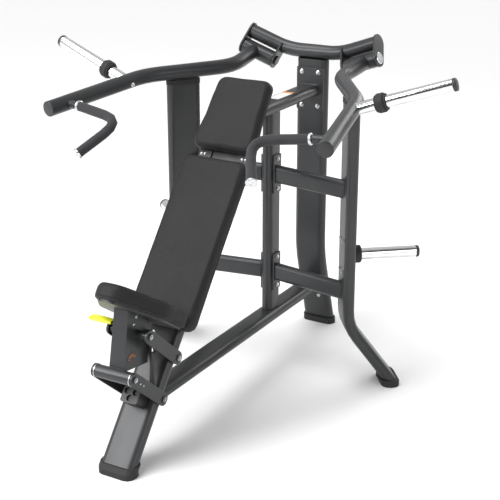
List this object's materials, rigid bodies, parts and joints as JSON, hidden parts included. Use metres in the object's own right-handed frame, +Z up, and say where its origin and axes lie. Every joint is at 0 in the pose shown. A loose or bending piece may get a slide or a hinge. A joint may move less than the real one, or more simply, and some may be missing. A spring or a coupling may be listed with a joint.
{
  "type": "shoulder press machine",
  "caption": "Plate-loaded shoulder press machine with two independent press arms, a reclined back pad and head pad, and a seat on an adjustable four-bar carriage.",
  "frame": {"origin": "on the floor, at the middle of the bounding box in plan", "axes": "+Z up, +X to the seated user's left, the seated user faces -Y; at rest the arms lie on the posts' bumpers and the seat is at its middle height"},
  "size_m": [1.8302, 1.7522, 1.4524],
  "materials": {
    "frame": "satin",
    "rubber": "matte",
    "plastic": "matte",
    "chrome": "polished",
    "aluminium": "satin",
    "leather": "satin",
    "foam_grip": "matte",
    "lever": "gloss"
  },
  "bodies": {
    "root": {"front_spine": "frame", "front_foot": "rubber", "rear_column": "frame", "rear_foot": "rubber", "base_beam": "frame", "centre_post": "frame", "upper_beam": "frame", "left_post": "frame", "right_post": "frame", "left_post_foot": "rubber", "right_post_foot": "rubber", "left_arm_rest": "rubber", "right_arm_rest": "rubber", "left_upper_crossbar": "frame", "right_upper_crossbar": "frame", "left_lower_crossbar": "frame", "right_lower_crossbar": "frame", "left_storage_horn": "chrome", "right_storage_horn": "chrome", "left_storage_collar": "rubber", "right_storage_collar": "rubber", "top_crossbar": "frame", "left_outer_pivot_plate": "frame", "right_outer_pivot_plate": "frame", "left_inner_pivot_plate": "frame", "right_inner_pivot_plate": "frame", "left_pivot_axle": "chrome", "right_pivot_axle": "chrome", "back_pad": "leather", "back_board": "plastic", "head_pad": "leather", "head_board": "plastic", "lower_spine_pin": "frame", "upper_spine_pin": "frame"},
    "left_arm": {"left_arm": "frame", "left_arm_plug": "plastic", "left_arm_horn": "chrome", "left_arm_horn_collar": "rubber", "left_grip": "foam_grip", "left_grip_ring": "aluminium", "left_grip_end_cap": "aluminium"},
    "right_arm": {"right_arm": "frame", "right_arm_plug": "plastic", "right_arm_horn": "chrome", "right_arm_horn_collar": "rubber", "right_grip": "foam_grip", "right_grip_ring": "aluminium", "right_grip_end_cap": "aluminium"},
    "lower_links": {"left_lower_link": "frame", "right_lower_link": "frame", "lower_carriage_pin": "frame"},
    "carriage": {"seat_carriage": "frame", "seat_pad": "leather", "seat_board": "plastic", "upper_carriage_pin": "frame"},
    "upper_links": {"left_upper_link": "frame", "right_upper_link": "frame"},
    "gas_cylinder": {"gas_cylinder": "plastic"},
    "gas_rod": {"gas_rod": "chrome"},
    "release_lever": {"release_lever": "lever"}
  },
  "joints": [
    {"name": "left_arm_pivot", "type": "hinge", "parent": "root", "child": "left_arm", "pos_m": [0.25172, 0.6848, 1.32551], "axis": [-0.9388, 0.0516, -0.3405], "range_deg": [0, 50]},
    {"name": "right_arm_pivot", "type": "hinge", "parent": "root", "child": "right_arm", "pos_m": [-0.25172, 0.6848, 1.32551], "axis": [-0.9388, -0.0516, 0.3405], "range_deg": [0, 50]},
    {"name": "seat_height", "type": "hinge", "parent": "root", "child": "lower_links", "pos_m": [0, -0.6529, 0.25122], "axis": [-1, 0, 0], "range_deg": [-20, 20]},
    {"name": "carriage_level", "type": "hinge", "parent": "lower_links", "child": "carriage", "pos_m": [0, -0.83344, 0.40914], "axis": [-1, 0, 0], "range_deg": [-20, 20]},
    {"name": "upper_link_pivot", "type": "hinge", "parent": "root", "child": "upper_links", "pos_m": [0, -0.54894, 0.38191], "axis": [-1, 0, 0], "range_deg": [-20, 20]},
    {"name": "gas_cylinder_pivot", "type": "hinge", "parent": "root", "child": "gas_cylinder", "pos_m": [0.052, -0.66973, 0.296], "axis": [-1, 0, 0], "range_deg": [-14, 14]},
    {"name": "gas_rod_slide", "type": "slide", "parent": "gas_cylinder", "child": "gas_rod", "axis": [0, 0.0306, 0.9995], "range_m": [-0.065, 0.065]},
    {"name": "release_lever_pivot", "type": "hinge", "parent": "carriage", "child": "release_lever", "pos_m": [-0.036, -0.75972, 0.574], "axis": [0, 1, 0], "range_deg": [0, 12], "stiffness_Nm_per_rad": 1.5, "springref_deg": -2.86}
  ],
  "couplings": [
    {"joint": "carriage_level", "follows": "seat_height", "ratio": -1},
    {"joint": "upper_link_pivot", "follows": "seat_height", "ratio": 1},
    {"joint": "gas_cylinder_pivot", "follows": "seat_height", "ratio": 0.676},
    {"joint": "gas_rod_slide", "follows": "seat_height", "m_per_rad": 0.18432}
  ]
}
